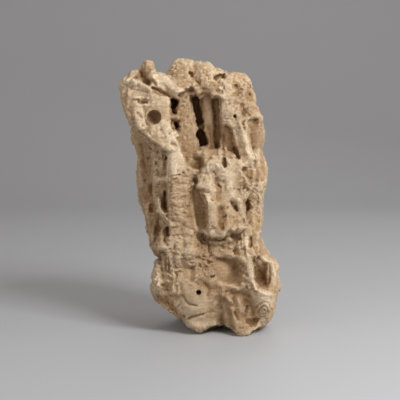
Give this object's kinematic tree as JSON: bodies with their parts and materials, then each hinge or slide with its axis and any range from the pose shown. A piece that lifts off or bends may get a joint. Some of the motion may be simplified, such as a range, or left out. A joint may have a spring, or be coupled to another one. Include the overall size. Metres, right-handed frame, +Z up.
{
  "type": "weathered sandstone rock",
  "caption": "Tall weathered sandstone rock with a deep pillared window, vertical ribs and troughs, borings and pockets, standing on worn feet.",
  "frame": {"origin": "on the ground under the middle of the rock's box", "axes": "+Z up along the rock's height, -Y towards the face with the window, +X to that face's right"},
  "size_m": [0.1778, 0.1426, 0.2995],
  "materials": {
    "sandstone": "rough, sandy, pitted"
  },
  "bodies": {
    "root": {"sandstone_rock": "sandstone"}
  },
  "joints": []
}
